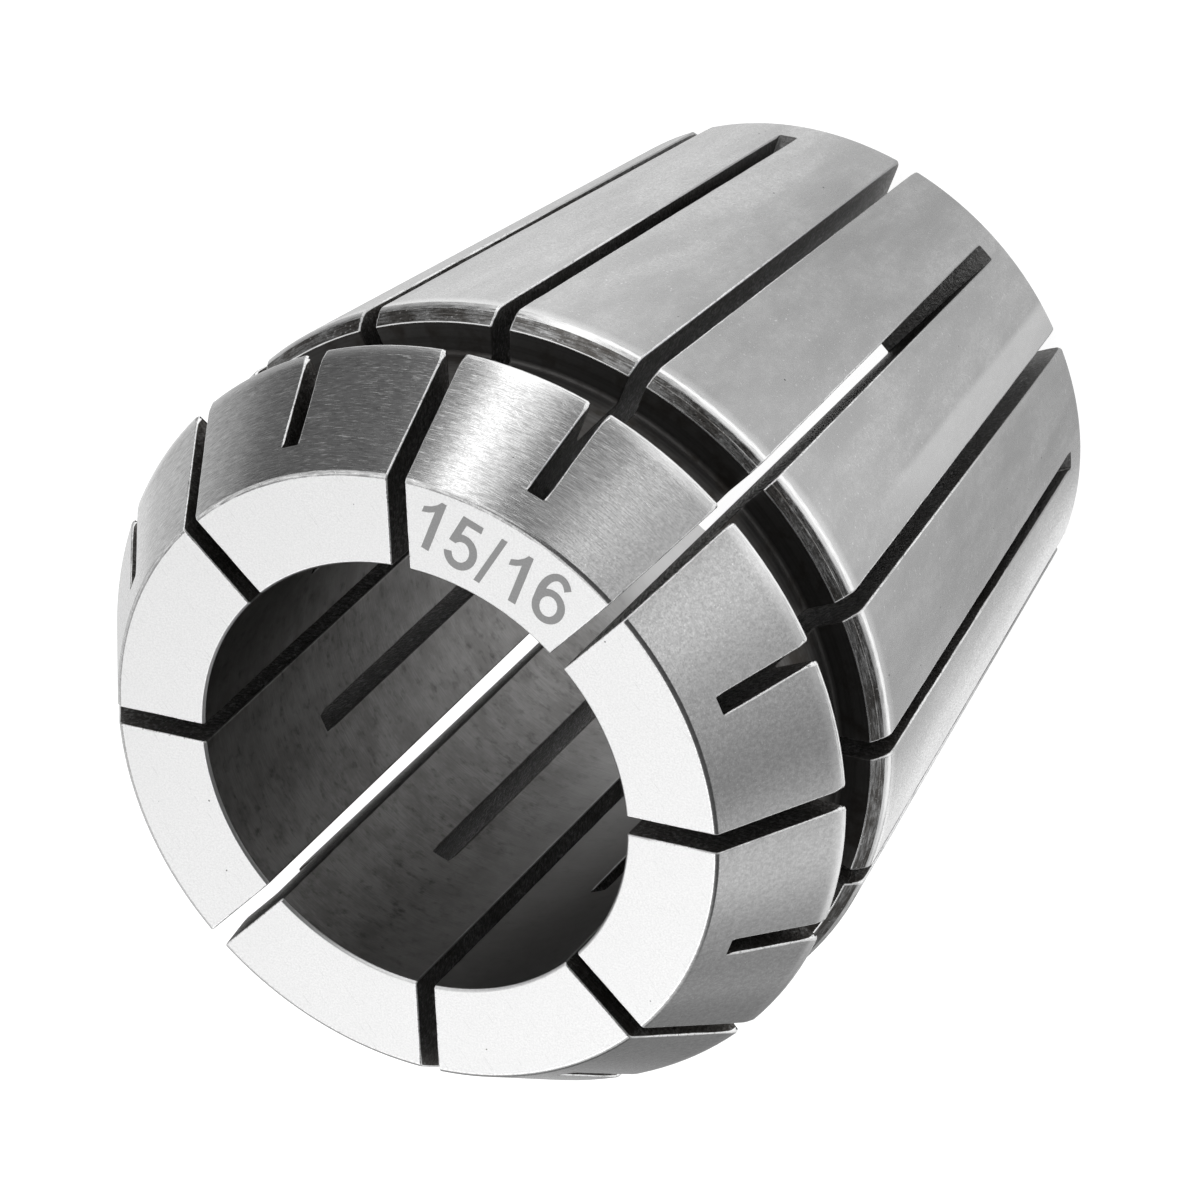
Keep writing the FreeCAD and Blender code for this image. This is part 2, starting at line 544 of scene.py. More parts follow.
# %% [markdown]
# Sixteen wedges make the sleeve. Every second one is a mirror image, and all are turned into
# place about the axis. Each has its own wandering edges, so that no two slots look alike. Points
# that fall on the same place are joined, and the count of open edges tells if the skin is closed.

# %% The sleeve
SEED = 40
JOIN_DIGITS = 5  # points alike to this many decimals of a millimetre are joined


def wedge_turn(k):
    """The matrix that puts wedge k in its place round the axis."""
    angle = 2 * WEDGE * ((k + 1) // 2)
    mirror = -1 if k % 2 else 1
    cos, sin = math.cos(angle), math.sin(angle)
    return np.array([[cos, -sin * mirror, 0], [sin, cos * mirror, 0], [0, 0, 1]])


def sleeve_mesh():
    """The whole sleeve as one closed mesh in metres, with a normal for each corner."""
    points, faces, normals, finishes = {}, [], [], []
    for k in range(2 * SLOTS_PER_END):
        turned = wedge_turn(k)
        for ring, finish in wedge_faces(edge_radii(SEED + 2 * k), edge_radii(SEED + 2 * k + 1)):
            if k % 2:
                ring = ring[::-1]
            face = []
            for point, normal in ring:
                place = turned @ point
                key = tuple(np.round(place, JOIN_DIGITS) + 0.0)
                face.append(points.setdefault(key, (len(points), place))[0])
                normals.append(turned @ normal)
            faces.append(face)
            finishes.append(FINISHES.index(finish))
    mesh = bpy.data.meshes.new("collet_sleeve")
    mesh.from_pydata([place * MM for _, place in points.values()], [], faces)
    mesh.polygons.foreach_set("material_index", finishes)
    mesh.polygons.foreach_set("use_smooth", [True] * len(faces))
    mesh.update()
    mesh.normals_split_custom_set(normals)
    return mesh


def add_object(name, data):
    """A new object in the scene."""
    made = bpy.data.objects.new(name, data)
    bpy.context.scene.collection.objects.link(made)
    return made


sleeve = add_object("collet_sleeve", sleeve_mesh())
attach(sleeve, "root")
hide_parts("collet")
links = {}
for face in sleeve.data.polygons:
    for edge in face.edge_keys:
        links[edge] = links.get(edge, 0) + 1
open_edges = sum(1 for count in links.values() if count != 2)
print(f"{len(sleeve.data.polygons)} faces, {open_edges} open edges")

# %% [markdown]
# Every finish below is drawn by nodes from the place of a point on the collet. A picture wrapped
# round the steel would be another way, but it would blur close up and need seams. Noise that is
# counted in cells per millimetre keeps its real size however near the camera comes, and fewer
# cells round the axis than along it make the short lines that turning and grinding leave. The
# helpers all draw on one sheet, the node tree of the finish that is being made.

# %% Node helpers
NOISE_LOW, NOISE_HIGH = 0.3, 0.7  # most of the noise lies between these


class Sheet:
    """The node tree that the helpers draw on at the moment."""
    tree = None


def plug_in(plug, value):
    """Links another node's output to this input, or sets the input to a number or a colour."""
    if isinstance(value, bpy.types.NodeSocket):
        Sheet.tree.links.new(value, plug)
    elif plug.type == "RGBA":
        plug.default_value = (*value, 1)
    else:
        plug.default_value = value


def add_node(kind, **inputs):
    """A new node with its named inputs filled."""
    node = Sheet.tree.nodes.new(kind)
    for name, value in inputs.items():
        plug_in(node.inputs[name.replace("_", " ")], value)
    return node


def reckon(operation, first, second=0.0, kind="ShaderNodeMath"):
    """A sum, a product or another reckoning with two numbers, or with two vectors."""
    node = Sheet.tree.nodes.new(kind)
    node.operation = operation
    plug_in(node.inputs[0], first)
    plug_in(node.inputs[1], second)
    return node.outputs["Value" if operation == "DOT_PRODUCT" else 0]


def times(first, second):
    """The product of two numbers."""
    return reckon("MULTIPLY", first, second)


def stretch(place, scale):
    """A place with each of its coordinates scaled by a number of its own."""
    return reckon("MULTIPLY", place, scale, "ShaderNodeVectorMath")


def way_along(place, direction):
    """How far a place lies in this direction."""
    return reckon("DOT_PRODUCT", place, direction, "ShaderNodeVectorMath")


def between(value, low, high, out_low=0.0, out_high=1.0):
    """Maps the stretch from low to high onto another stretch, with soft ends."""
    node = add_node("ShaderNodeMapRange", Value=value, From_Min=low, From_Max=high,
                    To_Min=out_low, To_Max=out_high)
    node.interpolation_type = "SMOOTHSTEP"
    return node.outputs["Result"]


def spread(noise, out_low=0.0, out_high=1.0):
    """Maps the stretch where most of the noise lies onto another stretch."""
    return between(noise, NOISE_LOW, NOISE_HIGH, out_low, out_high)


def blend(share, first, second):
    """The first colour where the share is 0, and the second where it is 1."""
    node = Sheet.tree.nodes.new("ShaderNodeMix")
    node.data_type = "RGBA"
    plug_in(node.inputs["Factor"], share)
    for plug, value in zip([p for p in node.inputs if p.type == "RGBA"], (first, second)):
        plug_in(plug, value)
    return [out for out in node.outputs if out.type == "RGBA"][0]


def grey(value, warmth=0.0):
    """A grey, a little towards brown if it is asked to be warm."""
    return (value * (1 + warmth), value, value * (1 - warmth))


print("helpers for the finishes are ready")

# %% [markdown]
# A few patterns do for all the finishes: cloudy grain, rings round the axis, the saw's arcs, pits
# and scratches. A pit is the small ball round a random point that happens to lie near the skin, so
# pits come out in all sizes up to the one asked for. A scratch is a cell of noise that is drawn
# out very long. Three helpers keep a pattern to one side of the collet, a height or a stripe.

# %% Patterns
NOISE_TOP = 0.8  # the noise hardly ever passes this
SCRATCH_FADE = 0.05  # how much the noise rises over the side of a scratch
PIT_CORE = 0.6  # share of a pit's radius that is fully dark


def cells(across, along):
    """Coordinates with this many cells per millimetre across the axis and along it."""
    place = Sheet.tree.nodes.new("ShaderNodeTexCoord").outputs["Object"]
    return stretch(place, (across / MM, across / MM, along / MM))


def polar():
    """Distance from the axis, and height, both in millimetres."""
    x, y, z = add_node("ShaderNodeSeparateXYZ", Vector=cells(1, 1)).outputs
    squares = reckon("ADD", times(x, x), times(y, y))
    return reckon("SQRT", squares), z


def rings(out_cells, up_cells):
    """Coordinates that depend only on the distance from the axis and on the height."""
    radius, height = polar()
    joined = add_node("ShaderNodeCombineXYZ", X=times(radius, out_cells), Y=times(height, up_cells))
    return joined.outputs[0]


def saw_arcs(along_cells, across_cells):
    """Coordinates along and across the arcs that the saw's teeth leave on a slot wall."""
    radius, height = polar()
    gap = reckon("SUBTRACT", saw_x, radius)
    squares = reckon("SUBTRACT", SAW_R**2, times(gap, gap))
    lag = reckon("SUBTRACT", height, reckon("SQRT", squares))
    joined = add_node("ShaderNodeCombineXYZ", X=times(radius, along_cells), Y=times(lag, across_cells))
    return joined.outputs[0]


def grain(place, detail=2.0, rough=0.55):
    """Cloudy noise at a place, or with this many cells across the axis and along it."""
    if isinstance(place, tuple):
        place = cells(*place)
    node = add_node("ShaderNodeTexNoise", Vector=place, Scale=1.0, Detail=detail, Roughness=rough)
    return node.outputs["Fac"]


def pits(per_mm, size):
    """1 in small round pits of up to this size in millimetres, elsewhere 0."""
    node = add_node("ShaderNodeTexVoronoi", Vector=cells(per_mm, per_mm), Scale=1.0)
    radius = per_mm * size / 2
    return between(node.outputs["Distance"], radius * PIT_CORE, radius, 1.0, 0.0)


def scratches(turn, per_mm, width, share):
    """1 on thin scratches in one direction, elsewhere 0; share is how much of the skin has them."""
    place = Sheet.tree.nodes.new("ShaderNodeTexCoord").outputs["Object"]
    turned = add_node("ShaderNodeVectorRotate", Vector=place)
    turned.rotation_type = "EULER_XYZ"
    turned.inputs["Rotation"].default_value = turn
    thin = 0.5 / width / MM
    drawn = stretch(turned.outputs["Vector"], (per_mm / MM, thin, thin))
    edge = NOISE_TOP - share
    return between(grain(drawn, 1), edge, edge + SCRATCH_FADE)


def on_side(angle, start, end):
    """0 at the start and 1 at the end of a stretch in millimetres towards one side."""
    side = (math.cos(math.radians(angle)), math.sin(math.radians(angle)), 0)
    return between(way_along(cells(1, 1), side), start, end)


def on_height(start, end):
    """0 at the start and 1 at the end of a stretch of height in millimetres."""
    return between(polar()[1], start, end)


def stripe(angle, half_width, fade):
    """1 on a stripe that runs up one side of the collet, elsewhere 0; sizes in millimetres."""
    to_one_hand = on_side(angle + 90, half_width + fade, half_width)
    to_the_other = on_side(angle - 90, half_width + fade, half_width)
    both = times(to_one_hand, to_the_other)
    near_side = on_side(angle, 5, 10)  # without it the far side would have the stripe too
    return times(both, near_side)


def coats(tone, *layers):
    """Lays greys over a tone; each layer is its share, its grey and sometimes its warmth."""
    for share, *colour in layers:
        tone = blend(share, tone, grey(*colour))
    return tone


def raised(height, depth, under=None):
    """A bump of this depth in millimetres, on top of another bump if there is one."""
    node = add_node("ShaderNodeBump", Height=height, Distance=depth * MM)
    if under:
        plug_in(node.inputs["Normal"], under)
    return node.outputs["Normal"]


def make_steel(draw):
    """A bare steel whose colour, roughness and bump are drawn by the function of the same name."""
    finish = bpy.data.materials.new(draw.__name__)
    finish.use_nodes = True
    Sheet.tree = finish.node_tree
    shader = Sheet.tree.nodes["Principled BSDF"]
    shader.inputs["Metallic"].default_value = 1.0
    for name, value in zip(("Base Color", "Roughness", "Normal"), draw()):
        plug_in(shader.inputs[name], value)
    print(f"{finish.name}: {len(Sheet.tree.nodes)} nodes")
    return finish


steels = {}
print("patterns for the finishes are ready")

# %% [markdown]
# The front face is ground last of all, so it is the brightest and most even surface. It has a fine
# satin grain, hardly any clouds, and a few tiny dark pits and scratches. The grain goes into the
# colour, the gloss and the bump together, because a real grain changes all three.

# %% Ground front face
def ground_face():
    """Bright, fine satin."""
    fine = grain((10, 10), 3, 0.75)
    clouds = grain((0.35, 0.35), 2)
    marks = scratches((0, 0, 0.9), 0.9, 0.03, 0.1)
    tone = coats(
        grey(0.77),
        (spread(fine), 0.66),
        (between(clouds, 0.35, 0.65, 0.0, 0.25), 0.7),
        (times(marks, 0.35), 0.45),
        (pits(0.55, 0.12), 0.12),
    )
    gloss = spread(fine, 0.30, 0.40)
    return tone, gloss, raised(fine, 0.006)


steels["face"] = make_steel(ground_face)

# %% [markdown]
# The nose cone is turned and then only polished lightly, so short bright dashes run round it, and
# it mirrors the studio more sharply than the face does. The dashes are noise with fewer than two
# cells to a millimetre round the cone and nearly thirty along it. One side was polished longer,
# so they fade there and only the fine grain is left, and the other side carries painted glints on
# its dashes. The nut rubs the cone bright near its rim, and a band there is painted brighter still
# as a highlight.

# %% Turned nose cone
def turned_nose():
    """Glossy, with dashes that run round it."""
    dashes = grain((1.7, 28), 2, 0.6)
    fine = grain((8, 16), 2, 0.65)
    rough_side = on_side(105, 8, 15)
    patches = between(grain((0.16, 0.16), 1), 0.38, 0.62, 0.5, 1.0)
    # Painted glints: sparse bright dashes on the rough side of the cone.
    painted_glints = between(grain((1.5, 30), 1, 0.5), 0.56, 0.76)
    painted_glints = times(painted_glints, times(patches, rough_side))
    satin = grain((5, 3.5), 4, 0.75)
    smooth = blend(spread(satin), grey(0.48), grey(0.7))
    streaky = blend(spread(dashes), grey(0.40), grey(0.78))
    tone = blend(between(rough_side, 0.0, 1.0, 0.12, 1.0), smooth, streaky)
    # A band next to the rim, rubbed by the nut and painted brighter as a highlight.
    painted_highlight = on_height(nose_back_z + 1.0, nose_back_z + 0.45)
    tone = coats(
        tone,
        (between(fine, 0.35, 0.7, 0.0, 0.35), 0.42),
        (painted_glints, 0.93),
        (times(painted_highlight, 0.45), 0.85),
        (scratches((0.5, 0.3, 0.7), 1.1, 0.03, 0.09), 0.9),
        (pits(0.6, 0.1), 0.1),
    )
    gloss = spread(fine, 0.14, 0.24)
    gloss = reckon("ADD", gloss, times(painted_glints, 0.22))
    bump = raised(times(dashes, rough_side), 0.005)
    return tone, gloss, raised(fine, 0.002, bump)


steels["nose"] = make_steel(turned_nose)

# %% [markdown]
# The groove keeps the black of the hardening oil, and is painted darker still as shade in the
# recess, with faint turning lines. Lines that run quite round the sleeve depend only on the
# distance from the axis and on the height.

# %% Turned groove
def turned_groove():
    """Dark and dull, partly painted shade, with faint turning lines and brown stains."""
    lines = grain(rings(7, 7), 2)
    stains = grain((0.6, 0.9), 4, 0.6)
    # Painted shade: the black of the oil is darkened further as shade in the recess.
    tone = coats(
        grey(0.10, 0.03),
        (spread(lines), 0.14, 0.02),
        (between(stains, 0.45, 0.7), 0.07, 0.1),
    )
    gloss = spread(stains, 0.55, 0.7)
    return tone, gloss, raised(lines, 0.004)


steels["groove"] = make_steel(turned_groove)

# %% [markdown]
# The slanted shoulder behind the groove is turned too, and then stained in the hardening. Its
# streaks run round the sleeve, torn into dark and bright flecks.

# %% Turned shoulder
def turned_shoulder():
    """Dark, with torn streaks and stains."""
    streaks = grain((1.1, 13), 3, 0.65)
    flecks = grain((5, 8), 2, 0.7)
    stains = grain((0.5, 1.6), 4, 0.65)
    tone = coats(
        grey(0.13, 0.02),
        (between(streaks, 0.35, 0.68), 0.43),
        (between(stains, 0.42, 0.62, 0.0, 0.8), 0.07, 0.1),
        (between(flecks, 0.62, 0.74), 0.6),
    )
    gloss = spread(flecks, 0.22, 0.42)
    bump = raised(streaks, 0.012, raised(flecks, 0.006))
    return tone, gloss, bump


steels["shoulder"] = make_steel(turned_shoulder)

# %% [markdown]
# The long taper seats in the chuck, so it is ground to a fine, even grey. It has soft clouds where
# it has been handled, a grain finer than a tenth of a millimetre, and small specks and scratches.
# It is painted a little lighter towards the groove, as a gradient of light, and a band next to the
# edge is painted brighter as a highlight; one finger has a painted highlight stripe beside a slot.

# %% Ground taper
def ground_taper():
    """Even fine grey, with soft clouds and specks."""
    clouds = grain((0.5, 0.12), 3, 0.6)
    mottle = grain((2.2, 1.6), 3, 0.65)
    fine = grain((10, 9), 3, 0.75)
    specks = between(grain((5, 7), 1, 0.5), 0.70, 0.78)
    specks = times(specks, on_height(6, 24))
    # Painted light: lighter towards the groove end.
    painted_light_gradient = on_height(12, taper_top_z)
    # Painted highlight: a band just below the shoulder round.
    painted_highlight = on_height(taper_top_z - 1.1, taper_top_z - 0.3)
    # Painted highlight: a bright stripe beside one slot on one finger.
    streak = times(stripe(27, 0.7, 0.5), on_height(29, 20))
    tone = coats(
        grey(0.42),
        (spread(clouds), 0.60),
        (between(mottle, 0.35, 0.7, 0.0, 0.5), 0.42),
        (spread(fine, 0.0, 0.6), 0.38),
        (specks, 0.75),
        (times(painted_light_gradient, 0.2), 0.75),
        (times(painted_highlight, 0.6), 0.85),
        (times(streak, 0.45), 0.8),
        (scratches((0.2, 0.6, 1.1), 0.8, 0.035, 0.1), 0.68),
        (pits(0.5, 0.14), 0.08),
    )
    gloss = spread(fine, 0.22, 0.36)
    return tone, gloss, raised(mottle, 0.006, raised(fine, 0.004))


steels["taper"] = make_steel(ground_taper)

# %% [markdown]
# The rear end is turned and left so. Fine rings cover it, and oil has stained it in patches.

# %% Turned rear end
def turned_rear():
    """Rings and soft stains."""
    lines = grain(rings(8, 8), 3, 0.65)
    stains = grain((0.5, 0.5), 4, 0.6)
    tone = coats(
        grey(0.48),
        (spread(lines), 0.66),
        (between(stains, 0.45, 0.75, 0.0, 0.5), 0.36, 0.02),
        (pits(0.6, 0.12), 0.1),
    )
    return tone, spread(stains, 0.24, 0.36), raised(lines, 0.01)


steels["rear"] = make_steel(turned_rear)

# %% [markdown]
# The bore is ground, but oil and chips have left it darker than the outside. It has very fine
# lines round it, and small dark blots. One side of it is painted brighter as a reflection, a patch
# near the rear end is painted lighter as light that comes in there, and deep inside it is painted
# darker as shade.

# %% Ground bore
def ground_bore():
    """Darker grey, with fine lines and dark blots."""
    brushed = grain((0.9, 13), 3, 0.7)
    mottle = grain((0.5, 0.6), 4, 0.7)
    blots = between(grain((1.4, 1.8), 3, 0.6), 0.5, 0.86)
    # Painted reflection: one side of the bore is painted brighter.
    painted_highlight = on_side(290, 9, 12)
    # Painted shade: darker deep inside the bore.
    deep = on_height(36, 20)
    # Painted light: a patch near the rear end, lit through the rear opening.
    near_rear = times(on_height(14, 4), on_side(234, 8, 11))
    tone = coats(
        grey(0.24, 0.015),
        (spread(brushed), 0.33, 0.015),
        (between(mottle, 0.35, 0.68, 0.0, 0.65), 0.16, 0.03),
        (blots, 0.08, 0.04),
        (times(painted_highlight, 0.6), 0.58),
        (times(deep, 0.25), 0.1),
        (times(near_rear, 0.75), 0.65),
    )
    gloss = spread(brushed, 0.29, 0.38)
    return tone, gloss, raised(brushed, 0.006)


steels["bore"] = make_steel(ground_bore)

# %% [markdown]
# The slots are cut with a thin saw and never polished, so their walls are rough and dark, painted
# darker still as shade inside the narrow slots, with torn grains that catch the light, and lighter
# towards the rear. The saw's teeth leave slanting arcs across the wall, whose place follows from
# the size of the blade. In the one slot that shows the daylight behind it they are painted bright
# as glints, where each arc is seen end on, like a bright crumb.

# %% Sawn slot walls
def sawn_slot():
    """Dark and rough, with bright torn grains."""
    arcs = grain(rings(1.2, 6), 3, 0.7)
    scores_and_glints = between(grain(saw_arcs(0.6, 4.2), 3, 0.75), 0.46, 0.58)
    # Painted glints: the saw arcs are bright only in the one slot with daylight behind it.
    painted_lit_slot = times(stripe(45, 0.8, 0.3), on_height(14, 24))
    scores_and_glints = times(scores_and_glints, painted_lit_slot)
    torn = grain((4.5, 4.5), 3, 0.75)
    oil = grain((0.5, 0.3), 3, 0.6)
    near_rear = on_height(16, 4)
    # Painted shade: the dark base is darkened further as shade inside the narrow slots.
    tone = coats(
        grey(0.06, 0.05),
        (between(arcs, 0.35, 0.7), 0.15, 0.05),
        (between(torn, 0.5, 0.64), 0.22, 0.01),
        (between(oil, 0.45, 0.65, 0.0, 0.7), 0.05, 0.12),
        (times(near_rear, 0.55), 0.24),
        (scores_and_glints, 0.6, 0.01),
    )
    bump = raised(scores_and_glints, 0.1, raised(torn, 0.06))
    return tone, between(torn, 0.4, 0.7, 0.55, 0.4), bump


steels["slot"] = make_steel(sawn_slot)

# %% [markdown]
# Edges that the nut and the chuck rub stay bright, with fine dashes round them, and are painted
# brighter still as highlight lines along the rim and the shoulder. The edges along the slots were
# only touched with a file, so they are nicked, bright here and dull there, the bright nicks partly
# painted glints, and duller still towards the rear, where nothing rubs them.

# %% Worn rim and filed edges, with painted highlights
def worn_edge_with_highlight():
    """Rubbed bright and painted brighter as a highlight, with dashes that run round it."""
    dashes = grain((1.5, 12), 2, 0.6)
    dull = grain((0.7, 0.9), 3, 0.6)
    # The bright tone is partly painted highlight on the rubbed edges.
    tone = coats(
        grey(0.7),
        (spread(dashes), 0.93),
        (between(dull, 0.5, 0.7, 0.0, 0.35), 0.6),
    )
    return tone, spread(dashes, 0.2, 0.34), raised(dashes, 0.005)


def filed_edge_with_glints():
    """Nicked, bright here and dull there, the bright nicks partly painted glints."""
    nicks_and_glints = grain((6.5, 6.5), 3, 0.75)
    dull = grain((0.5, 0.4), 2)
    # The bright nicks are partly painted glints.
    tone = coats(
        grey(0.32),
        (between(nicks_and_glints, 0.3, 0.5), 0.98),
        (between(dull, 0.5, 0.68, 0.0, 0.6), 0.4),
        (on_height(24, 8), 0.4),
    )
    return tone, spread(nicks_and_glints, 0.3, 0.5), raised(nicks_and_glints, 0.02)


steels["worn"] = make_steel(worn_edge_with_highlight)
steels["edge"] = make_steel(filed_edge_with_glints)

# %% [markdown]
# Each face of the sleeve already carries the number of its finish, so the materials only have to
# go on in that same order.

# %% Put the finishes on
for finish_name in FINISHES:
    sleeve.data.materials.append(steels[finish_name])
print("finishes on the sleeve:", [finish.name for finish in sleeve.data.materials])

# %% [markdown]
# The size of the bore is marked on the front face, between two slots, in plain upright digits. A
# laser leaves such a mark as a thin matt grey layer. Text from a font would need the font file,
# so each sign is drawn here as an outline of straight lines and arcs. An outline that never
# crosses itself can be filled with triangles and then lifted by a hair to stand on the face.

# %% Outlines of the digits
DIGIT = 3.0  # height of the digits


def arc(centre, wide, high, start, end, steps=16):
    """Points on an ellipse from one angle to another, in degrees."""
    made = []
    for k in range(steps + 1):
        angle = math.radians(start + (end - start) * k / steps)
        made.append((centre[0] + wide * math.cos(angle), centre[1] + high * math.sin(angle)))
    return made


one = [(0.21, 0), (0.21, DIGIT), (-0.07, DIGIT), (-0.24, 2.72), (-0.5, 2.46), (-0.86, 2.26),
       (-0.86, 1.9), (-0.5, 2.06), (-0.22, 2.27), (-0.22, 0)]
five = ([(-0.54, DIGIT), (0.64, DIGIT), (0.64, 2.6), (-0.2, 2.6), (-0.3, 1.96)]
        + arc((0, 0.98), 0.905, 1.035, 108, -160, 28) + arc((0, 0.98), 0.475, 0.605, -160, 148, 24)
        + [(-0.79, 1.33)])
slash = [(-0.46, -0.04), (-0.12, -0.04), (0.44, DIGIT + 0.04), (0.1, DIGIT + 0.04)]
six = (arc((0.06, 1.5), 0.96, 1.54, 40, 180) + arc((0, 0.97), 0.9, 1.01, 180, 478, 40)
       + arc((0.06, 1.5), 0.54, 1.12, 160, 40))
six_hole = arc((0, 0.97), 0.48, 0.6, 0, 345, 23)

# Each sign: how far its middle is from the middle of the mark, and its closed outlines.
SIGNS = [(-3.46, [one]), (-1.72, [five]), (-0.13, [slash]), (1.64, [one]), (3.44, [six, six_hole])]
print("points in the outlines:", sum(len(ring) for _, rings_of in SIGNS for ring in rings_of))

# %% Size mark
MARK_PLACE = (5.2, 13.3)
MARK_TURN = math.radians(-23)


def mark_mesh():
    """All signs as thin plates that stand on the front face."""
    bm = bmesh.new()
    cosine, sine = math.cos(MARK_TURN), math.sin(MARK_TURN)
    for shift, outlines in SIGNS:
        edges = []
        for ring in outlines:
            corners_of = []
            for x, y in ring:
                across, upward = x + shift, y - DIGIT / 2
                place = (MARK_PLACE[0] + across * cosine - upward * sine,
                         MARK_PLACE[1] + across * sine + upward * cosine, face_z)
                corners_of.append(bm.verts.new(Vector(place) * MM))
            for a, b in zip(corners_of, corners_of[1:] + corners_of[:1]):
                edges.append(bm.edges.new((a, b)))
        bmesh.ops.triangle_fill(bm, edges=edges, use_beauty=True)
    lifted = bmesh.ops.extrude_face_region(bm, geom=bm.faces[:])["geom"]
    for vertex in [item for item in lifted if isinstance(item, bmesh.types.BMVert)]:
        vertex.co.z = LENGTH * MM
    bmesh.ops.recalc_face_normals(bm, faces=bm.faces[:])
    mesh = bpy.data.meshes.new("size_mark")
    bm.to_mesh(mesh)
    open_edges = sum(1 for edge in bm.edges if len(edge.link_faces) != 2)
    print(f"size mark: {len(bm.faces)} faces, {open_edges} open edges")
    bm.free()
    return mesh


mark = add_object("size_mark", mark_mesh())
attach(mark, "root")

# %% [markdown]
# The laser has turned the steel to a dull grey oxide, so this finish hardly mirrors anything. A
# fine grain keeps it from looking printed.

# %% Laser grey
def laser_grey():
    """Dull oxide with a fine grain."""
    fine = grain((9, 9), 3, 0.7)
    tone = blend(spread(fine), grey(0.28), grey(0.34))
    return tone, spread(fine, 0.46, 0.54), raised(fine, 0.004)


mark.data.materials.append(make_steel(laser_grey))

# %% [markdown]
# The photograph was taken from above and to one side, with a long lens, and the camera was rolled
# far over, so the collet seems to lean. The place, the aim and the roll below bring the rings of
# the collet, the slots and the groove onto the same pixels as in the photograph.

# %% Camera
AIM = Vector((-0.779, -0.988, 24.023)) * MM
AZIMUTH = math.radians(48.623)
ELEVATION = math.radians(50.854)
ROLL = math.radians(-134.027)
DISTANCE = 463.058 * MM
LENS = 268.134  # focal length in millimetres, for this sensor in a square picture
SENSOR = 36
NEAREST = 0.01  # the camera sees from here to the farthest, in metres
FARTHEST = 20

back = Vector((
    math.cos(AZIMUTH) * math.cos(ELEVATION),
    math.sin(AZIMUTH) * math.cos(ELEVATION),
    math.sin(ELEVATION),
))
level_right = Vector((0, 0, 1)).cross(back).normalized()
level_up = back.cross(level_right)
up = level_up * math.cos(ROLL) - level_right * math.sin(ROLL)
right = up.cross(back)
camera = add_object("camera", bpy.data.cameras.new("camera"))
camera.data.lens = LENS
camera.data.sensor_width = SENSOR
camera.data.clip_start = NEAREST
camera.data.clip_end = FARTHEST
camera.matrix_world = Matrix.Translation(AIM + back * DISTANCE) @ Matrix(
    (right, up, back)
).transposed().to_4x4()
bpy.context.scene.camera = camera
print("camera at", [round(c, 4) for c in camera.location])

# %% [markdown]
# The collet stands on its rear end on a plain white floor. The photograph has no shadow there, so
# the floor gives a little light of its own, and the steel is not allowed to mirror it: the
# studio drawn below does that part.

# %% Floor
HALF_FLOOR = 3.0
floor_mesh = bpy.data.meshes.new("floor")
floor_corners = [(-1, -1, 0), (1, -1, 0), (1, 1, 0), (-1, 1, 0)]
floor_mesh.from_pydata([Vector(c) * HALF_FLOOR for c in floor_corners], [], [(0, 1, 2, 3)])
floor = add_object("floor", floor_mesh)
floor.visible_glossy = False

paper = bpy.data.materials.new("white_paper")
paper.use_nodes = True
sheen = paper.node_tree.nodes["Principled BSDF"]
sheen.inputs["Base Color"].default_value = (*grey(0.5), 1)
sheen.inputs["Roughness"].default_value = 0.9
sheen.inputs["Specular IOR Level"].default_value = 0.0
sheen.inputs["Emission Color"].default_value = (*grey(1.0), 1)
sheen.inputs["Emission Strength"].default_value = 0.95
floor_mesh.materials.append(paper)
print("floor", 2 * HALF_FLOOR, "m wide")

# %% [markdown]
# Bare steel shows its surroundings more than its own colour. A photographer stands soft white
# panels round such a part and leaves dark gaps between them, and these draw the bright and dark
# bands on the cones. Real panels would have to be huge, so they are drawn on the sky in five
# rings, one above another. Each stop is a direction in degrees from +X and its brightness, and
# the ramp blends softly from one stop to the next.

# %% Rings of soft panels
studio = bpy.data.worlds.new("studio")
studio.use_nodes = True
sky = Sheet.tree = studio.node_tree
way = sky.nodes.new("ShaderNodeTexCoord").outputs["Generated"]
way_x, way_y, way_z = add_node("ShaderNodeSeparateXYZ", Vector=way).outputs
bearing = reckon("ARCTAN2", way_y, way_x)
bearing = add_node("ShaderNodeMapRange", Value=bearing, From_Min=-math.pi, From_Max=math.pi)


def panel_ring(stops):
    """The colour of a ring of panels in the direction that is looked up."""
    ramp = add_node("ShaderNodeValToRGB", Fac=bearing.outputs["Result"])
    ramp.color_ramp.interpolation = "EASE"
    stops = [(-180, stops[-1][1])] + stops
    marks = ramp.color_ramp.elements
    while len(marks) < len(stops):
        marks.new(0.5)
    for stop, (angle, _) in zip(marks, stops):
        stop.position = (angle + 180) / 360
    for stop, (_, bright) in zip(marks, stops):
        stop.color = (bright, bright, bright, 1)
    return ramp.outputs["Color"]


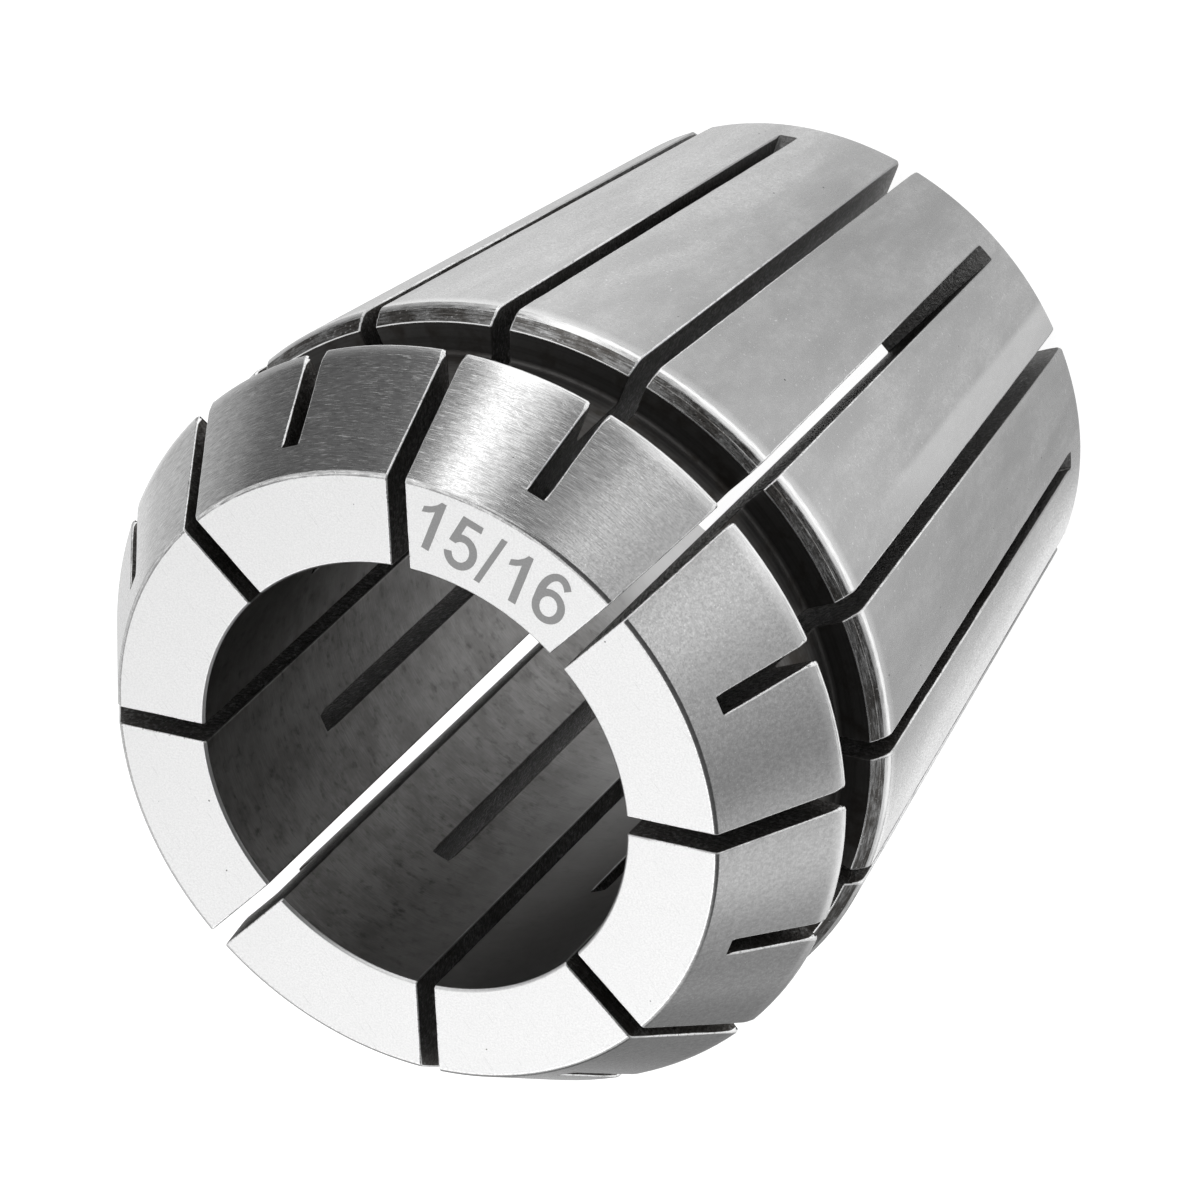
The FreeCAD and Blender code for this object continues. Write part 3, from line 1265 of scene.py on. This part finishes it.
horizon_ring = panel_ring([
    (-150, 0.9), (-112, 0.35), (-95, 0.15), (-84, 0.17), (-76, 0.44), (-68, 0.3), (-60, 0.42),
    (-40, 0.85), (-14, 0.38), (8, 0.6), (32, 1.1), (47, 0.75), (62, 1.15), (74, 0.45), (83, 0.2),
    (95, 1.35), (101, 2.5), (108, 0.4), (122, 0.17), (158, 0.14), (170, 0.45), (180, 0.7),
])
low_ring = panel_ring([
    (-165, 0.72), (-158, 1.0), (-148, 0.9), (-100, 0.27), (-84, 0.3), (-74, 0.45), (-50, 1.2),
    (80, 1.4), (100, 1.5), (114, 1.1), (128, 0.55), (146, 0.32), (160, 0.5), (170, 0.5), (180, 0.65),
])
floor_ring = panel_ring([
    (-150, 0.9), (-128, 0.95), (-106, 1.6), (-98, 1.5), (-76, 0.6), (-40, 0.62), (-5, 0.9),
    (12, 0.95), (40, 0.82), (90, 0.72), (107, 0.72), (135, 1.1), (180, 1.1),
])
top_ring = panel_ring([
    (-140, 1.1), (-112, 0.2), (-92, 0.3), (-50, 0.12), (95, 0.12), (118, 1.1), (180, 1.1),
])
high_ring = panel_ring([
    (-170, 0.9), (-90, 0.8), (-50, 0.1), (70, 0.08), (84, 0.9), (105, 1.4), (130, 0.8),
    (180, 0.9),
])
print("five rings of panels")

# %% [markdown]
# The rings pass softly into each other with height. The top ring is dark on the camera's side and
# bright on the other, which draws the dark line along one edge of the face and the bright one
# opposite. One large light hangs where the front face mirrors it to the camera, brighter towards
# one end. What the camera sees of the sky itself is plain white.

# %% The whole sky
FACE_LIGHT = (-0.417, -0.474, 0.776)
BRIGHT_END = (0.707, -0.707, 0.0)

light = blend(between(way_z, -0.82, -0.70), floor_ring, low_ring)
light = blend(between(way_z, -0.42, -0.22), light, horizon_ring)
light = blend(between(way_z, 0.17, 0.28), light, high_ring)
light = blend(between(way_z, 0.65, 0.82), light, top_ring)
toward_end = way_along(way, BRIGHT_END)
slope = add_node("ShaderNodeMapRange", Value=toward_end, From_Min=-0.13, From_Max=0.22)
panel = blend(slope.outputs["Result"], grey(0.47), grey(2.3))
light = blend(between(way_along(way, FACE_LIGHT), 0.87, 0.95), light, panel)
seen = sky.nodes.new("ShaderNodeLightPath").outputs["Is Camera Ray"]
light = blend(seen, light, grey(1.0))
plug_in(sky.nodes["Background"].inputs["Color"], light)
bpy.context.scene.world = studio
bpy.context.scene.view_settings.view_transform = "Standard"
print("sky nodes:", len(sky.nodes))

# %% [markdown]
# Last, the scene is brought up to date.

# %% Update the scene
bpy.context.view_layer.update()
